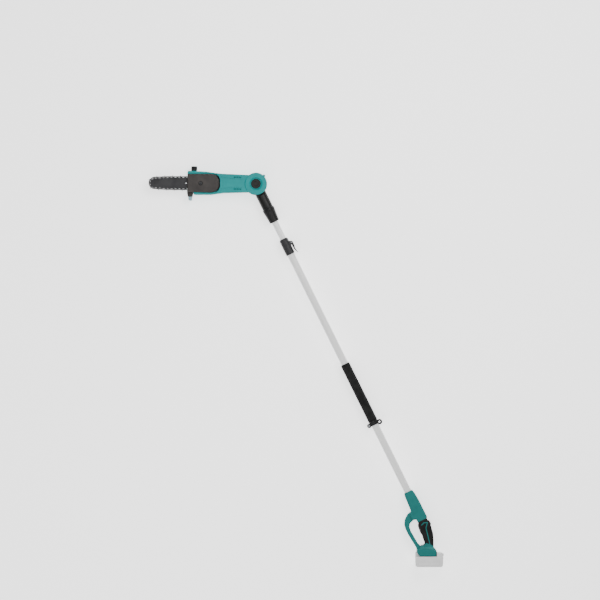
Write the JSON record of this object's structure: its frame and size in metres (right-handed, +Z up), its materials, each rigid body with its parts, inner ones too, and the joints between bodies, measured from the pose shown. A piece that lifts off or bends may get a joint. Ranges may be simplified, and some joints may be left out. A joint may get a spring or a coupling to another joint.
{
  "type": "telescoping pole saw",
  "caption": "Cordless telescoping pole saw: sliding two-tube pole, tilting saw head with bar and chain, lever clamp, foam grip, D-shaped rear handle and slide-on battery.",
  "frame": {"origin": "centre of the bounding box's footprint, on the floor", "axes": "+X along the pole from the handle to the head, +Y the side the bar and the hand loop are on, +Z up from the floor, the sprocket cover's side; the saw lies on its side"},
  "size_m": [2.265, 0.5168, 0.0805],
  "materials": {
    "teal_plastic": "satin moulded",
    "dark_teal_plastic": "satin moulded",
    "grey_plastic": "fine moulded texture",
    "black_plastic": "moulded",
    "grip_rubber": "soft overmould",
    "foam": "closed-cell foam",
    "white_tube": "gloss white coat",
    "pale_tube": "gloss pale coat",
    "dark_steel": "phosphated",
    "steel": "bright",
    "pale_tip": "clear pale blue",
    "battery_grey": "matt",
    "battery_panel": "satin",
    "cell_wrap": "shrink wrap",
    "board": "solder mask",
    "cord": "matt sheath",
    "tank_plastic": "natural polythene"
  },
  "bodies": {
    "handle_pole": {"outer_tube": "pale_tube", "foam_grip": "foam", "strap_collar": "black_plastic", "strap_bolt": "steel", "clamp_collar": "grey_plastic", "clamp_shoe": "black_plastic", "clamp_pin": "steel", "power_cord": "cord", "handle_shell_front": "dark_teal_plastic", "handle_shell_rear": "dark_teal_plastic", "grip_pad_front": "grip_rubber", "grip_pad_rear": "grip_rubber", "handle_screws": "steel", "trigger_pin": "steel", "trigger_spring": "steel", "switch_box": "black_plastic", "control_board": "board", "terminal_block": "black_plastic"},
    "upper_pole": {"inner_tube": "white_tube", "guide_bush": "black_plastic", "neck": "black_plastic"},
    "coupling": {"coupling_sleeve": "black_plastic"},
    "head": {"head_shell_front": "teal_plastic", "head_shell_rear": "teal_plastic", "head_screws": "steel", "hub_tab": "teal_plastic", "button_spring": "steel", "motor_can": "dark_steel", "bearings": "steel", "gearcase": "black_plastic", "guide_bar": "dark_steel", "nose_rivet": "steel", "chain_drive_links": "steel", "chain_cutters": "dark_steel", "chain_tie_straps": "dark_steel", "bar_stud": "steel", "bar_nut": "dark_steel", "chain_tensioner": "steel", "sprocket_cover": "grey_plastic", "branch_hook": "grey_plastic", "hook_tip": "pale_tip", "oil_tank": "tank_plastic", "oil_pump": "black_plastic"},
    "lock_button": {"tilt_button": "black_plastic"},
    "spindle": {"output_spindle": "steel", "drive_sprocket": "dark_steel", "drive_gear": "dark_steel", "spindle_clip": "steel"},
    "rotor": {"motor_rotor": "dark_steel", "pinion": "steel"},
    "nose_wheel": {"nose_sprocket": "steel"},
    "filler_cap": {"oil_cap": "black_plastic"},
    "lever": {"clamp_lever": "black_plastic"},
    "trigger_key": {"trigger": "black_plastic"},
    "lock_key": {"lock_off": "black_plastic"},
    "battery": {"battery_case_top": "battery_grey", "battery_case_bottom": "battery_grey", "battery_panels": "battery_panel", "battery_cells": "cell_wrap"},
    "battery_key": {"battery_latch": "battery_panel"}
  },
  "joints": [
    {"name": "pole_slide", "type": "slide", "parent": "handle_pole", "child": "upper_pole", "axis": [1, 0, 0], "range_m": [0, 0.6], "deforming": ["power_cord"]},
    {"name": "coupling_turn", "type": "hinge", "parent": "upper_pole", "child": "coupling", "pos_m": [0.72624, -0.20092, 0.04], "axis": [1, 0, 0], "range_deg": [0, 60]},
    {"name": "head_tilt", "type": "hinge", "parent": "upper_pole", "child": "head", "pos_m": [0.88624, -0.20092, 0.04], "axis": [0, 0, 1], "range_deg": [-63, 27]},
    {"name": "button_press", "type": "slide", "parent": "head", "child": "lock_button", "axis": [0, 0, -1], "range_m": [0, 0.005], "stiffness_N_per_m": 900, "springref_m": -0.004, "deforming": ["button_spring"]},
    {"name": "spindle_turn", "type": "hinge", "parent": "head", "child": "spindle", "pos_m": [0.98318, -0.00902, 0.04], "axis": [0, 0, 1], "continuous": true, "deforming": ["chain_drive_links", "chain_cutters", "chain_tie_straps"]},
    {"name": "rotor_turn", "type": "hinge", "parent": "head", "child": "rotor", "pos_m": [0.96627, -0.04249, 0.04], "axis": [0, 0, 1], "continuous": true},
    {"name": "nose_turn", "type": "hinge", "parent": "head", "child": "nose_wheel", "pos_m": [1.10242, 0.22704, 0.04], "axis": [0, 0, 1], "continuous": true, "deforming": ["chain_drive_links", "chain_cutters", "chain_tie_straps"]},
    {"name": "cap_lift", "type": "slide", "parent": "head", "child": "filler_cap", "axis": [0.8926, -0.4509, 0], "range_m": [0, 0.03]},
    {"name": "lever_swing", "type": "hinge", "parent": "handle_pole", "child": "lever", "pos_m": [0.56354, -0.22842, 0.04], "axis": [0, 0, 1], "range_deg": [0, 150]},
    {"name": "trigger_pull", "type": "hinge", "parent": "handle_pole", "child": "trigger_key", "pos_m": [-0.95176, -0.18892, 0.04], "axis": [0, 0, -1], "range_deg": [0, 6], "stiffness_Nm_per_rad": 1.5, "springref_deg": -5.73, "deforming": ["trigger_spring"]},
    {"name": "lock_press", "type": "slide", "parent": "handle_pole", "child": "lock_key", "axis": [0, 1, 0], "range_m": [0, 0.003], "stiffness_N_per_m": 500, "springref_m": -0.003},
    {"name": "battery_slide", "type": "slide", "parent": "handle_pole", "child": "battery", "axis": [-0.4429, -0.8966, 0], "range_m": [0, 0.11]},
    {"name": "latch_press", "type": "slide", "parent": "battery", "child": "battery_key", "axis": [0.4429, 0.8966, 0], "range_m": [0, 0.003], "stiffness_N_per_m": 500, "springref_m": -0.003}
  ],
  "couplings": [
    {"joint": "rotor_turn", "follows": "spindle_turn", "ratio": -3.1667},
    {"joint": "nose_turn", "follows": "spindle_turn", "ratio": 0.66667}
  ]
}
